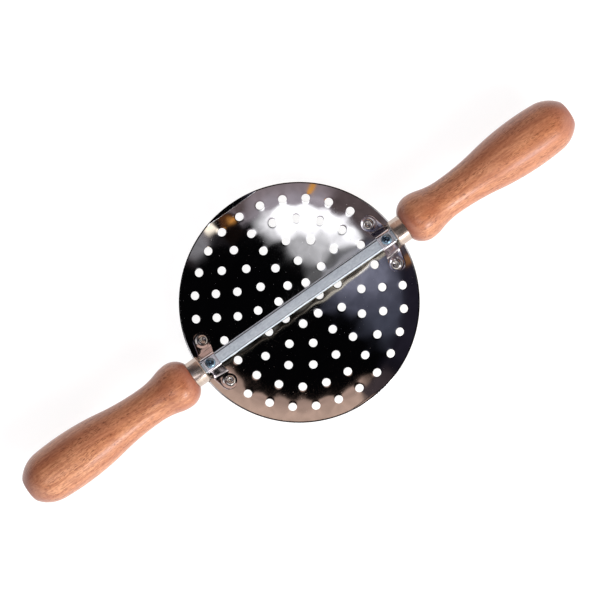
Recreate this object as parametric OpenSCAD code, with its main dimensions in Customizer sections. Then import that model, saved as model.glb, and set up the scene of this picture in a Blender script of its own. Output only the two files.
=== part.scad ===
// Two-handled perforated press for dough and boiled potatoes.
// Millimetres. X runs along the crossbar, Y across it, Z up. The origin lies
// under the middle of the dish, at the height of its lowest point.

/* [Dish] */
// Diameter of the rim
dish_d = 140; // [110:1:170]
// Depth of the hollow below the rim
dish_depth = 16; // [10:0.5:22]
// Thickness of the dish's sheet
sheet_t = 1; // [0.8:0.1:1.6]
// Width of the level lip at the back edge
back_lip = 2.7; // [1.5:0.1:4]
// Width of the level lip at the front edge
front_lip = 1.7; // [1:0.1:4]

/* [Dough holes] */
// Diameter of one dough hole
hole_d = 5; // [3:0.1:6]
// Holes in each ring, from the inmost to the outermost
ring_counts = [7, 11, 16, 22, 28];
// Distance of the outermost ring inside the rim
ring_inset = 9; // [8:0.5:14]

/* [Crossbar] */
// Width and height of the square bar
bar_w = 7.6; // [6:0.1:9]
// Bevel along the bar's four edges
bar_bevel = 0.85; // [0.3:0.05:1.2]
// Gap between the ferrules and the rim that they pass over
rim_gap = 0.8; // [0.4:0.1:4]
// Diameter of the round tang inside the handle
tang_d = 7; // [5:0.1:7.4]
// Length of the tang
tang_len = 58; // [35:1:80]

/* [Straps] */
// Width of the strap
strap_w = 8.9; // [8:0.1:10]
// Thickness of the strap
strap_t = 0.8; // [0.6:0.05:1.2]
// Distance of the strap's middle inside the rim
strap_inset = 8.9; // [8.4:0.1:11]
// How far each leg leans out from upright
strap_splay = 14; // [10:0.5:18]
// Inner radius of the strap's folds
fold_r = 0.7; // [0.4:0.1:1.2]
// Radius of the rounded end of each foot
foot_r = 4.6; // [4.2:0.1:5.2]

/* [Rivets and screws] */
// Turn of each rivet away from the crossbar
rivet_turn = 13.6; // [12:0.2:15]
// Diameter of the rivet's shank
rivet_d = 4; // [3:0.1:4.6]
// Diameter of the rivet's smooth head under the dish
rivet_head_d = 8; // [7:0.1:9]
// Diameter of the rivet's rolled end on the foot
clinch_d = 6.2; // [5.2:0.1:7]
// Diameter of the strap screw's thread
screw_d = 4; // [3:0.5:4.5]
// Diameter of the strap screw's head
screw_head_d = 6; // [5.5:0.1:7]
// Height of the strap screw's head
screw_head_h = 2.1; // [1.6:0.1:2.6]

/* [Ferrules] */
// Outer diameter of the ferrule
ferrule_d = 16; // [15:0.1:18]
// Length of the ferrule
ferrule_len = 7.6; // [5:0.1:12]
// Wall of the ferrule
ferrule_wall = 0.6; // [0.4:0.1:1]
// Distance from the strap to the ferrule
ferrule_gap = 1.15; // [0.8:0.05:4]

/* [Handles] */
// Length of the wood that shows
handle_len = 114.2; // [110:0.1:125]
// Diameter of the front bead
bead_d = 28.8; // [27:0.1:31]
// Diameter of the neck
neck_d = 22.6; // [20:0.1:25]
// Diameter of the palm swell
swell_d = 32.2; // [30:0.1:36]
// Distance of the swell's widest place from the butt
swell_inset = 28.2; // [25:0.1:32]
// Distance of the bead's widest place from the nose
bead_s = 10; // [8:0.1:12]

/* [Fits] */
// Clearance all round a tang or screw in its hole
fit = 0.05; // [0.02:0.01:0.15]

/* [Hidden] */
$fn = 128;
// Where two shapes of one piece overlap, one is thinner by this on each side
hair = 0.01;

// The hollow is part of a ball
ball_r = (pow(dish_d / 2, 2) + pow(dish_depth, 2)) / (2 * dish_depth);
ball_z = sheet_t + ball_r;
rim_z = sheet_t + dish_depth;
rings = len(ring_counts);
// Tilt of the outermost ring, seen from the ball's centre
outer_tilt = asin((dish_d / 2 - ring_inset) / ball_r);

// Crossbar
bar_z = rim_z + rim_gap + ferrule_d / 2;
bar_top = bar_z + bar_w / 2;
strap_x = dish_d / 2 - strap_inset;
shoulder_x = strap_x + strap_w / 2 + ferrule_gap;

// Strap: the upper fold, then the leg's outer face measured from the ball's centre
top_ro = fold_r + strap_t;
top_y = bar_w / 2 - fold_r;
top_z = bar_top - fold_r;
leg_h = top_y * cos(strap_splay) + (top_z - ball_z) * sin(strap_splay) + top_ro - 3 * hair;
leg_t = strap_t - 6 * hair;
// Lower fold: its centre, from the axis of the leg's revolve
foot_ro = fold_r + leg_t;
foot_h = leg_h + fold_r;
foot_rho = sqrt(pow(ball_r - foot_ro - 3 * hair, 2) - foot_h * foot_h);
foot_turn = atan2(foot_h, foot_rho);

// Screws
screw_x = strap_x + 0.4;
screw_depth = bar_w - 1.6;

// Rivets, on the outermost ring
rivet_x = (dish_d / 2 - ring_inset) * cos(rivet_turn);
rivet_y = (dish_d / 2 - ring_inset) * sin(rivet_turn);

// Handles: stations along the wood from its nose, and the arcs between them
wood_x = shoulder_x + ferrule_len;
nose_r = ferrule_d / 2 + 0.2;
bead_front_r = arc_r(bead_s, bead_d / 2 - nose_r);
bead_back_r = 25;
neck_front_r = 44;
neck_back_r = 152;
swell_r = 166;
end_r = 20;
butt_r = 2.5;
neck_front_s = bead_s + reach(bead_back_r + neck_front_r, (bead_d - neck_d) / 2);
swell_s = handle_len - swell_inset;
neck_back_s = swell_s - reach(neck_back_r + swell_r, (swell_d - neck_d) / 2);
// Where the bead turns into the neck, and the neck into the swell
turn_1 = bead_s + (neck_front_s - bead_s) * bead_back_r / (bead_back_r + neck_front_r);
turn_2 = neck_back_s + (swell_s - neck_back_s) * neck_back_r / (neck_back_r + swell_r);
// The end arc leaves the swell's arc at this lean
end_lean = 4.8;
end_s = swell_s + (swell_r - end_r) * sin(end_lean);
end_y = swell_d / 2 - swell_r + (swell_r - end_r) * cos(end_lean);
// The butt's rounded corner
butt_s = handle_len - butt_r;
butt_y = end_y + sqrt(pow(end_r - butt_r, 2) - pow(butt_s - end_s, 2));

// Radius of the arc that rises by h over a half chord of c
function arc_r(c, h) = (c * c + h * h) / (2 * h);
// Run in which two tangent arcs, of radii that add up to s, climb by h
function reach(s, h) = sqrt(2 * s * h - h * h);
// Where the leg's outer face meets the dish, for a given x
function fold_y(x) = leg_h * cos(strap_splay)
    + sqrt(ball_r * ball_r - leg_h * leg_h - x * x) * sin(strap_splay);

// ---- Placing ----

// Stands children on the hollow side of the dish, with +Z square to it
module on_dish(tilt, turn) {
    translate([0, 0, ball_z])
        rotate([0, 0, turn])
            rotate([0, -tilt, 0])
                translate([0, 0, -ball_r])
                    children();
}

// Lays children along the bar's axis from x, with their +Z pointing out
module along_bar(x) {
    translate([x, 0, bar_z])
        rotate([0, 90, 0])
            children();
}

module left_side() {
    mirror([1, 0, 0]) children();
}

// ---- Dish ----

// The dish's shell between two balls of one centre
module shell() {
    difference() {
        intersection() {
            translate([0, 0, ball_z]) sphere(r = ball_r + sheet_t);
            translate([0, 0, -1]) cylinder(d = dish_d, h = rim_z + 3);
        }
        translate([0, 0, ball_z]) sphere(r = ball_r);
    }
}

// A lip carries the shell's section at its chord straight out to the rim
module lip(width) {
    chord = dish_d / 2 - width;
    inner = sqrt(ball_r * ball_r - chord * chord) - 5 * hair;
    outer = sqrt(pow(ball_r + sheet_t, 2) - chord * chord) - 5 * hair;
    intersection() {
        translate([0, chord - 10 * hair, ball_z])
            rotate([-90, 0, 0])
                linear_extrude(width + 2)
                    difference() {
                        circle(r = outer);
                        circle(r = inner);
                    }
        translate([0, 0, -1]) cylinder(d = dish_d, h = rim_z + 3);
    }
}

module lip_space(width) {
    translate([-dish_d, dish_d / 2 - width, -1])
        cube([2 * dish_d, dish_d, rim_z + 3]);
}

module dough_hole(tilt, turn) {
    on_dish(tilt, turn)
        translate([0, 0, -3 * sheet_t])
            cylinder(d = hole_d, h = 6 * sheet_t);
}

// Every ring has one hole on the +Y side. The rivets take four places of the last ring.
module dough_holes() {
    dough_hole(0, 0);
    for (k = [0:rings - 1])
        for (i = [0:ring_counts[k] - 1]) {
            turn = 90 + 360 * i / ring_counts[k];
            off_bar = abs(asin(sin(turn)));
            near_rivet = k == rings - 1 && off_bar > 6 && off_bar < 18;
            if (!near_rivet) dough_hole(outer_tilt * (k + 1) / rings, turn);
        }
}

module at_each_rivet() {
    for (turn = [rivet_turn, -rivet_turn, 180 - rivet_turn, 180 + rivet_turn])
        on_dish(outer_tilt, turn) children();
}

module rivet_hole() {
    translate([0, 0, -3]) cylinder(d = rivet_d + 2 * fit, h = 6);
}

module disc() {
    color([0.82, 0.82, 0.84])
        difference() {
            union() {
                difference() {
                    shell();
                    lip_space(back_lip);
                    mirror([0, 1, 0]) lip_space(front_lip);
                }
                lip(back_lip);
                mirror([0, 1, 0]) lip(front_lip);
            }
            dough_holes();
            at_each_rivet() rivet_hole();
        }
}

// ---- Crossbar ----

module bar_section() {
    a = bar_w / 2;
    b = a - bar_bevel;
    polygon([[a, -b], [a, b], [b, a], [-b, a], [-a, b], [-a, -b], [-b, -a], [b, -a]]);
}

module tang() {
    tip = 1.5;
    along_bar(shoulder_x - 1) cylinder(d = tang_d, h = tang_len + 1 - tip);
    along_bar(shoulder_x + tang_len - tip)
        cylinder(d1 = tang_d, d2 = tang_d - 2 * tip, h = tip);
}

module tapped_hole() {
    translate([screw_x, 0, bar_top - screw_depth])
        cylinder(d = screw_d + 2 * fit, h = screw_depth + 1);
}

module crossbar() {
    color([0.70, 0.73, 0.76])
        difference() {
            union() {
                along_bar(-shoulder_x) linear_extrude(2 * shoulder_x) bar_section();
                tang();
                left_side() tang();
            }
            tapped_hole();
            left_side() tapped_hole();
        }
}

// ---- Straps ----

// Section over the bar, as [across, up]: seat, folds and the start of the legs
module strap_top_section() {
    translate([-top_y - 0.15, bar_top]) square([2 * top_y + 0.3, strap_t]);
    for (side = [0, 1])
        mirror([side, 0])
            translate([top_y, top_z]) {
                intersection() {
                    difference() {
                        circle(r = top_ro - hair);
                        circle(r = fold_r + hair);
                    }
                    polygon([[0, 0], 3 * top_ro * [cos(strap_splay), sin(strap_splay)],
                        3 * top_ro * [1, 1], [0, 3 * top_ro]]);
                }
                rotate(strap_splay)
                    translate([fold_r + 2 * hair, -1.4])
                        square([strap_t - 4 * hair, 1.5]);
            }
}

// Section of one leg, as [distance from the axis, place along it]. The axis passes
// through the ball's centre square to the leg, so one revolve gives the flat leg,
// the fold and the foot, and the foot's underside is the dish's own ball.
module leg_section() {
    start = foot_turn - 0.1;
    finish = foot_turn + 7.5;
    translate([foot_rho, foot_h]) {
        translate([-26, -foot_ro]) square([26, leg_t]);
        intersection() {
            difference() {
                circle(r = foot_ro);
                circle(r = fold_r);
            }
            polygon([[0, 0], [0, -3 * foot_ro], [3 * foot_ro, -3 * foot_ro],
                3 * foot_ro * [cos(foot_turn), sin(foot_turn)]]);
        }
    }
    intersection() {
        difference() {
            circle(r = ball_r);
            circle(r = ball_r - strap_t);
        }
        polygon([[0, 0], 1.2 * ball_r * [cos(start), sin(start)],
            1.2 * ball_r * [cos(finish), sin(finish)]]);
    }
}

// Outline of a leg and its foot from above: the foot swings in towards its rivet
module leg_outline() {
    x1 = strap_x - strap_w / 2;
    x2 = strap_x + strap_w / 2;
    swing = atan2(strap_x - rivet_x, rivet_y - fold_y(strap_x));
    side = (foot_r - 0.1) * [cos(swing), sin(swing)];
    polygon([[x1, 0], [x2, 0], [x2, fold_y(x2)], [rivet_x, rivet_y] + side,
        [rivet_x, rivet_y] - side, [x1, fold_y(x1)]]);
    translate([rivet_x, rivet_y]) circle(r = foot_r);
}

module strap_leg() {
    intersection() {
        translate([0, 0, ball_z])
            rotate([strap_splay - 90, 0, 0])
                rotate_extrude()
                    leg_section();
        linear_extrude(top_z - 0.6) leg_outline();
    }
}

module strap() {
    color([0.80, 0.80, 0.82])
        difference() {
            union() {
                translate([strap_x, 0, 0])
                    rotate([90, 0, 90])
                        linear_extrude(strap_w, center = true)
                            strap_top_section();
                strap_leg();
                mirror([0, 1, 0]) strap_leg();
            }
            translate([screw_x, 0, bar_top - 1]) cylinder(d = screw_d + 6 * fit, h = 3);
            at_each_rivet() rivet_hole();
        }
}

module strap_right() {
    strap();
}

module strap_left() {
    left_side() strap();
}

// ---- Strap screws ----

module screw_recess() {
    depth = 0.6 * screw_head_h;
    for (turn = [0, 90])
        rotate([0, 0, turn + 20])
            translate([-0.28 * screw_head_d, -0.45, screw_head_h - depth])
                cube([0.56 * screw_head_d, 0.9, depth + 1]);
}

module strap_screw() {
    crown_r = 0.72 * screw_head_d;
    length = strap_t + screw_depth - 0.6;
    color([0.62, 0.68, 0.73])
        translate([screw_x, 0, bar_top + strap_t]) {
            difference() {
                intersection() {
                    cylinder(d = screw_head_d, h = screw_head_h + 1);
                    translate([0, 0, screw_head_h - crown_r]) sphere(r = crown_r);
                }
                screw_recess();
            }
            translate([0, 0, -length]) cylinder(d = screw_d, h = length + 0.2);
        }
}

module strap_screw_right() {
    strap_screw();
}

module strap_screw_left() {
    left_side() strap_screw();
}

// ---- Rivets ----

// Z is square to the dish here and 0 is its hollow side
module rivet_smooth_head() {
    edge = 0.4;
    crown = 1.1;
    crown_r = arc_r(rivet_head_d / 2, crown);
    difference() {
        intersection() {
            translate([0, 0, -sheet_t - edge - crown])
                cylinder(d = rivet_head_d, h = 2 * (edge + crown));
            translate([0, 0, crown_r - sheet_t - edge - crown]) sphere(r = crown_r);
        }
        translate([0, 0, ball_r]) sphere(r = ball_r + sheet_t);
    }
}

// The shank's end is rolled outwards over the foot, round a small hollow
module rivet_clinch() {
    roll = clinch_d / 6;
    intersection() {
        translate([0, 0, strap_t]) {
            rotate_extrude() translate([2 * roll, 0]) circle(r = roll);
            cylinder(r = 2 * roll, h = 0.25 * roll);
        }
        translate([0, 0, ball_r]) sphere(r = ball_r - strap_t);
    }
}

module rivet(turn) {
    color([0.78, 0.77, 0.76])
        on_dish(outer_tilt, turn) {
            rivet_smooth_head();
            translate([0, 0, -sheet_t - 0.3])
                cylinder(d = rivet_d, h = sheet_t + strap_t + 0.4);
            rivet_clinch();
        }
}

module rivet_right_back() {
    rivet(rivet_turn);
}

module rivet_right_front() {
    rivet(-rivet_turn);
}

module rivet_left_back() {
    rivet(180 - rivet_turn);
}

module rivet_left_front() {
    rivet(180 + rivet_turn);
}

// ---- Ferrules ----

// A drawn cup with a rounded closed end, and a hole there for the tang
module ferrule() {
    r = ferrule_d / 2;
    corner = 0.9;
    color([0.80, 0.76, 0.68])
        along_bar(shoulder_x)
            rotate_extrude()
                difference() {
                    union() {
                        square([r - corner, corner]);
                        translate([0, corner]) square([r, ferrule_len - corner]);
                        translate([r - corner, corner]) circle(r = corner);
                    }
                    translate([-1, ferrule_wall]) square([r - ferrule_wall + 1, ferrule_len]);
                    translate([-1, -1]) square([tang_d / 2 + 4 * fit + 1, ferrule_wall + 2]);
                }
}

module ferrule_right() {
    ferrule();
}

module ferrule_left() {
    left_side() ferrule();
}

// ---- Handles ----

// Points along an outward arc about station s, for the turns a1 to a2 from square.
// The first point is left out, because the arc before it ends there.
function bulge(s, y, r, a1, a2, n) = [for (i = [1:n])
    let (a = a1 + (a2 - a1) * i / n) [y + r * cos(a), s + r * sin(a)]];
// The same for a hollow arc that comes within y of the axis
function hollow(s, y, r, a1, a2, n) = [for (i = [1:n])
    let (a = a1 + (a2 - a1) * i / n) [y + r - r * cos(a), s + r * sin(a)]];

// Half outline as [distance from the axis, station], all arcs tangent
module wood_outline() {
    nose = -asin(bead_s / bead_front_r);
    back = asin((turn_1 - bead_s) / bead_back_r);
    rise = asin((turn_2 - neck_back_s) / neck_back_r);
    corner = asin((butt_s - end_s) / (end_r - butt_r));
    polygon(concat(
        [[0, 0], [nose_r, 0]],
        bulge(bead_s, bead_d / 2 - bead_front_r, bead_front_r, nose, 0, 18),
        bulge(bead_s, bead_d / 2 - bead_back_r, bead_back_r, 0, back, 5),
        hollow(neck_front_s, neck_d / 2, neck_front_r, -back, 0, 10),
        [[neck_d / 2, neck_back_s]],
        hollow(neck_back_s, neck_d / 2, neck_back_r, 0, rise, 8),
        bulge(swell_s, swell_d / 2 - swell_r, swell_r, -rise, end_lean, 14),
        bulge(end_s, end_y, end_r, end_lean, corner, 16),
        bulge(butt_s, butt_y, butt_r, corner, 90, 6),
        [[0, handle_len]]));
}

module handle() {
    spigot_r = ferrule_d / 2 - ferrule_wall;
    spigot_len = ferrule_len - ferrule_wall;
    chamfer = 0.5;
    bore_len = tang_len - ferrule_wall + 1.5;
    color([0.80, 0.52, 0.36])
        difference() {
            union() {
                along_bar(wood_x) rotate_extrude() wood_outline();
                along_bar(wood_x - spigot_len + chamfer)
                    cylinder(r = spigot_r, h = spigot_len - chamfer + 1);
                along_bar(wood_x - spigot_len)
                    cylinder(r1 = spigot_r - chamfer, r2 = spigot_r, h = chamfer);
            }
            along_bar(wood_x - spigot_len - 1) cylinder(d = tang_d + 2 * fit, h = bore_len + 1);
            along_bar(wood_x - spigot_len + bore_len)
                cylinder(d1 = tang_d + 2 * fit, d2 = 0, h = tang_d / 3);
        }
}

module handle_right() {
    handle();
}

module handle_left() {
    left_side() handle();
}

disc();
crossbar();
strap_left();
strap_right();
strap_screw_left();
strap_screw_right();
rivet_left_back();
rivet_left_front();
rivet_right_back();
rivet_right_front();
ferrule_left();
ferrule_right();
handle_left();
handle_right();
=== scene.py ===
"""A two-handled press for dough and boiled potatoes, dressed and lit.

Lengths in the tables are millimetres, as on a drawing; every mesh is made in metres.
"""
import math
from math import atan2, cos, pi, radians, sin, sqrt

import bmesh
import bpy
import numpy as np
from mathutils import Matrix, Vector
from mathutils.geometry import delaunay_2d_cdt


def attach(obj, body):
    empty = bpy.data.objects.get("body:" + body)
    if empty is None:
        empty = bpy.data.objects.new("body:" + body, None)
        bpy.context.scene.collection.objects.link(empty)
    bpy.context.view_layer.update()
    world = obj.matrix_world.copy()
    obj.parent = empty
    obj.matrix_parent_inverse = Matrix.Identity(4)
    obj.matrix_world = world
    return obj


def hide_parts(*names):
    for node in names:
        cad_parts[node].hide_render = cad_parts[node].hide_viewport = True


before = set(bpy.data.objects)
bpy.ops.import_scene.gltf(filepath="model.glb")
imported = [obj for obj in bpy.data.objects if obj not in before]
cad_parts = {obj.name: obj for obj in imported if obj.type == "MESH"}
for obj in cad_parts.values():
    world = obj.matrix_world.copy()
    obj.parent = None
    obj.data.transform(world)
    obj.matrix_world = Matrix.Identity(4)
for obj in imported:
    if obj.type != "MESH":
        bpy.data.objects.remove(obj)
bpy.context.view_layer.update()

MM = 0.001

# ---- Sizes, in millimetres ----

# Dish: a shell between two balls of one centre, its lip level at the back and eased at the front
DISH_R = 70.0
DISH_DEPTH = 16.0
SHEET = 1.0
BACK_CHORD = 67.3
FRONT_CHORD = 68.3
RIM_FLAT = 0.75
RIM_EASE = 0.1
RIM_EDGE = DISH_R - RIM_FLAT
BALL_R = (DISH_R**2 + DISH_DEPTH**2) / (2 * DISH_DEPTH)
BALL_Z = SHEET + BALL_R

# Dough holes: one in the middle and rings round it. The rivets share the outermost ring, where
# the straps' feet take the holes that lie between two turns off the bar
HOLE_R = 2.5
RINGS = [7, 11, 16, 22, 28]
OUTER_R = DISH_R - 9
OUTER_TILT = math.asin(OUTER_R / BALL_R)
FOOT_FROM, FOOT_TO = radians(6), radians(18)
RIVET_TURN = radians(13.6)
RIVET_TURNS = (RIVET_TURN, -RIVET_TURN, pi - RIVET_TURN, pi + RIVET_TURN)
RIVET_HOLE_R = 2.05

# Bar, with a tang at each end
BAR_W = 7.6
BAR_BEVEL = 0.85
BEVEL_EASE = 0.06
BAR_Z = 25.8
BAR_TOP = BAR_Z + BAR_W / 2
SHOULDER_X = 66.7
TANG_R = 3.5
TANG_ROOT = 1
TANG_CHAMFER = 1.5
TANG_END = SHOULDER_X + 58

# Ferrule
FERRULE_R = 8.0
FERRULE_LEN = 7.6
FERRULE_WALL = 0.6
FERRULE_EASE, MOUTH_EASE = 0.9, 0.2
FERRULE_HOLE_R = 4.6

# Handle: radii and places along it of its bead, neck and swell, which are arcs, and of its ends
WOOD_X = SHOULDER_X + FERRULE_LEN
HANDLE_LEN = 114.2
NOSE_R, NOSE_EASE = 8.2, 0.35
BEAD_R, BEAD_S, BEAD_BACK = 14.4, 10.0, 25.0
NECK_R, NECK_FRONT, NECK_BACK = 11.3, 44.0, 152.0
SWELL_R, SWELL_ARC, SWELL_S = 16.1, 166.0, 86.0
END_ARC, END_LEAN = 20.0, radians(4.8)
BUTT_CORNER = 2.5
BORE_R = 3.55
BORE_END = TANG_END - WOOD_X + 1

# Screw, with the half length and half width of its cross recess and the run of their walls
SCREW_X = 61.5
SCREW_HEAD_R, SCREW_HEAD_H = 3.0, 2.1
SCREW_CROWN_R = 0.72 * 2 * SCREW_HEAD_R
SCREW_EASE = 0.12
SCREW_SHANK_R, SCREW_SHANK = 2.0, 6.0
RECESS_ARM, RECESS_ARM_WALL = 1.75, 0.5
RECESS_HALF, RECESS_HALF_WALL = 0.52, 0.16
RECESS_DEPTH, RECESS_MIDDLE = 1.2, 1.25

# Strap, and the rivets that hold its feet
STRAP_T = 0.8
STRAP_EASE = 0.3
RIVET_R = 2.0
RIVET_HEAD_R, RIVET_EDGE, RIVET_CROWN = 4.0, 0.4, 1.1
RIVET_EASE = 0.12
CLINCH_R = 3.1


# ---- Small tools ----

# Sockets of a Mix node that is set to colours
A, B, MIXED = 6, 7, 2


def paint(code):
    """An sRGB hex colour as linear red, green, blue and alpha."""
    parts = [int(code[i:i + 2], 16) / 255 for i in (1, 3, 5)]
    return (*[p / 12.92 if p <= 0.04045 else ((p + 0.055) / 1.055) ** 2.4 for p in parts], 1)


def fill(node, inputs):
    """Links a node's inputs to sockets, or sets them to values."""
    for key, value in inputs.items():
        if isinstance(value, bpy.types.NodeSocket):
            node.id_data.links.new(value, node.inputs[key])
        else:
            node.inputs[key].default_value = value


def add(tree, kind, inputs=None, out=0, **settings):
    """Adds a node, sets it, fills its inputs, and gives back one of its outputs."""
    made = tree.nodes.new(kind)
    for key, value in settings.items():
        setattr(made, key, value)
    fill(made, inputs or {})
    return made.outputs[out] if len(made.outputs) else made


def new_object(name, data):
    """An object at the origin, linked into the scene."""
    made = bpy.data.objects.new(name, data)
    bpy.context.scene.collection.objects.link(made)
    return made


def mesh_object(name, points, faces, sharp=35):
    """A mesh object at the origin from points in millimetres, smooth apart from its sharp edges."""
    mesh = bpy.data.meshes.new(name)
    mesh.from_pydata([tuple(float(c) * MM for c in p) for p in points], [], faces)
    mesh.validate()
    finish_mesh(mesh, sharp)
    return new_object(name, mesh)


def finish_mesh(mesh, sharp=35):
    """Smooth shading, apart from edges that turn by more than sharp, in degrees."""
    mesh.polygons.foreach_set("use_smooth", [True] * len(mesh.polygons))
    mesh.set_sharp_from_angle(angle=radians(sharp))
    mesh.update()


def made_plain(piece, sharp):
    """Turns a piece's modifiers into a plain mesh of its own."""
    graph = bpy.context.evaluated_depsgraph_get()
    mesh = bpy.data.meshes.new_from_object(piece.evaluated_get(graph))
    piece.modifiers.clear()
    piece.data = mesh
    finish_mesh(mesh, sharp)
    return mesh


def circle(radius, steps):
    """Points of a whole circle round the origin."""
    turns = [2 * pi * k / steps for k in range(steps)]
    return [(radius * cos(turn), radius * sin(turn)) for turn in turns]


def turned(profile, steps):
    """Points and faces of a profile of (along, radius) revolved about +X. Ends on the axis are closed."""
    points, rings, faces = [], [], []
    for along, radius in profile:
        if radius < 1e-6:
            rings.append([len(points)])
            points.append((along, 0, 0))
            continue
        rings.append(list(range(len(points), len(points) + steps)))
        points += [(along, y, z) for y, z in circle(radius, steps)]
    for a, b in zip(rings, rings[1:]):
        for k in range(steps):
            n = (k + 1) % steps
            if len(a) == 1 and len(b) == 1:
                continue
            if len(a) == 1:
                faces.append((a[0], b[n], b[k]))
            elif len(b) == 1:
                faces.append((a[k], a[n], b[0]))
            else:
                faces.append((a[k], a[n], b[n], b[k]))
    return points, faces


def arc(cx, cy, r, start, end, steps):
    """Points of an arc, from one angle to another in degrees."""
    angles = [radians(start + (end - start) * k / steps) for k in range(steps + 1)]
    return [(cx + r * cos(a), cy + r * sin(a)) for a in angles]


def outward(piece):
    """Joins points that coincide, and turns every face outwards, on a closed mesh."""
    made = bmesh.new()
    made.from_mesh(piece.data)
    bmesh.ops.remove_doubles(made, verts=made.verts, dist=1e-7)
    bmesh.ops.recalc_face_normals(made, faces=made.faces)
    made.to_mesh(piece.data)
    made.free()
    finish_mesh(piece.data)


# ---- Camera ----

camera = new_object("camera", bpy.data.cameras.new("camera"))
# What points to the right and up in its view
ACROSS = Vector((0.8192, -0.5736, 0))
UP = Vector((0.5736, 0.8192, 0))
# It looks down at the bar, from a little in front of it
STAND = Vector((0, -1, 0))
TILT = radians(2.6)
TARGET = Vector((0.0011, 0.0002, 0.0258))
DISTANCE = 0.8912
sight = Vector((0, 0, cos(TILT))) + STAND * sin(TILT)
camera.location = TARGET + sight * DISTANCE
right = UP.cross(sight).normalized()
camera.rotation_euler = Matrix((right, sight.cross(right), sight)).transposed().to_euler()
camera.data.sensor_width = 36
camera.data.lens = 93.05
camera.data.clip_start = 0.01
bpy.context.scene.camera = camera

# ---- Studio ----

# The room that the steel mirrors: a dark ceiling, a soft window on one side, a warm wall
# opposite it and a pale low horizon. Turn is measured from the window, and lean from
# straight up, both in degrees: (turn, half turn, turn edge, lean from, its edge, lean to,
# its edge, colour, level).
ROOM = [
    # low horizon, bright on the window's side
    (0, 181, 1, 60, 14, 200, 1, "#8c8a8e", 0.9),
    (-35, 95, 50, 64, 16, 200, 1, "#fffdf8", 1.7),
    # bluish side
    (84, 20, 18, 12, 14, 41, 12, "#464857", 1.6),
    (66, 16, 22, 14, 12, 38, 8, "#6c6e80", 1.6),
    (104, 10, 16, 27, 10, 39, 8, "#3f4250", 1.6),
    (90, 36, 20, 40, 9, 58, 10, "#1e1c26", 1.6),
    # warm wall opposite the window
    (186, 47, 4, 37.6, 1.2, 200, 1, "#9d857b", 1.6),
    (190, 44, 8, 42.5, 6, 200, 1, "#b3998c", 1.6),
    (137, 9, 6, 42, 3, 60, 6, "#3a3236", 1.6),
    # wall above the window's far side, with its dark jambs
    (0, 40, 34, 37, 3, 58, 8, "#968f99", 1.6),
    (0, 60, 30, 44, 5, 60, 8, "#7d7278", 1.6),
    (34, 16, 12, 38, 3, 60, 8, "#4e4446", 1.6),
    (-32, 5, 8, 39, 6, 60, 8, "#54494a", 1.6),
    (-45, 7, 4, 34, 4, 60, 8, "#120d0c", 1.0),
    (-42, 2.2, 3, 41.5, 3, 60, 4, "#4a2c18", 1.6),
    (-41, 0.7, 1.1, 40.5, 3, 43.5, 2, "#d09048", 1.5),
    (-51, 2.6, 1.6, 44, 2.5, 60, 4, "#f6ecdc", 2.0),
    (-61, 6, 6, 42, 6, 60, 6, "#807f85", 1.4),
    (6.5, 1.3, 1.6, 42.5, 3, 50, 4, "#c98f46", 1.5),
    (70, 2.2, 2.4, 44, 4, 56, 3, "#8d6240", 1.4),
]
# What glows in it, the window first: (turn, half turn, turn edge, lean from, its edge, lean to,
# its edge, level)
GLOWS = [
    (8, 21, 18, 17, 8, 37, 2, 0.72),
    (8, 33, 14, 28.5, 8, 36.4, 3, 2.6),
    (36, 24, 24, 8, 8, 30, 10, 0.18),
    (53, 8, 1.5, 11, 8, 29, 8, 0.26),
    (-42, 10, 8, 57, 6, 69, 6, 11.5),
]
CEILING = (0.0015, 0.0015, 0.002, 1)
# How far soft unevenness moves the room's edges about, in degrees
TURN_STRAY, LEAN_STRAY = 8.0, 2.6


def span(tree, value, low, low_edge, high, high_edge):
    """A mask that is 1 between low and high, and fades out over their edges."""
    rise = add(tree, "ShaderNodeMapRange",
               {"Value": value, "From Min": low - low_edge / 2, "From Max": low + low_edge / 2},
               "Result", interpolation_type="SMOOTHSTEP")
    fall = add(tree, "ShaderNodeMapRange",
               {"Value": value, "From Min": high - high_edge / 2, "From Max": high + high_edge / 2,
                "To Min": 1.0, "To Max": 0.0}, "Result", interpolation_type="SMOOTHSTEP")
    return add(tree, "ShaderNodeMath", {0: rise, 1: fall}, operation="MULTIPLY")


def room_mask(tree, turn, lean, centre, half, edge, near, near_edge, far, far_edge):
    """The part of the room within half a turn of centre and between two leans."""
    off = add(tree, "ShaderNodeMath", {0: turn, 1: float(centre)}, operation="SUBTRACT")
    off = add(tree, "ShaderNodeMath", {0: off, 1: 180.0, 2: -180.0}, operation="WRAP")
    off = add(tree, "ShaderNodeMath", {0: off}, operation="ABSOLUTE")
    across = add(tree, "ShaderNodeMapRange",
                 {"Value": off, "From Min": half - edge / 2, "From Max": half + edge / 2,
                  "To Min": 1.0, "To Max": 0.0}, "Result", interpolation_type="SMOOTHSTEP")
    upward = span(tree, lean, near, near_edge, far, far_edge)
    return add(tree, "ShaderNodeMath", {0: across, 1: upward}, operation="MULTIPLY")


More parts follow.
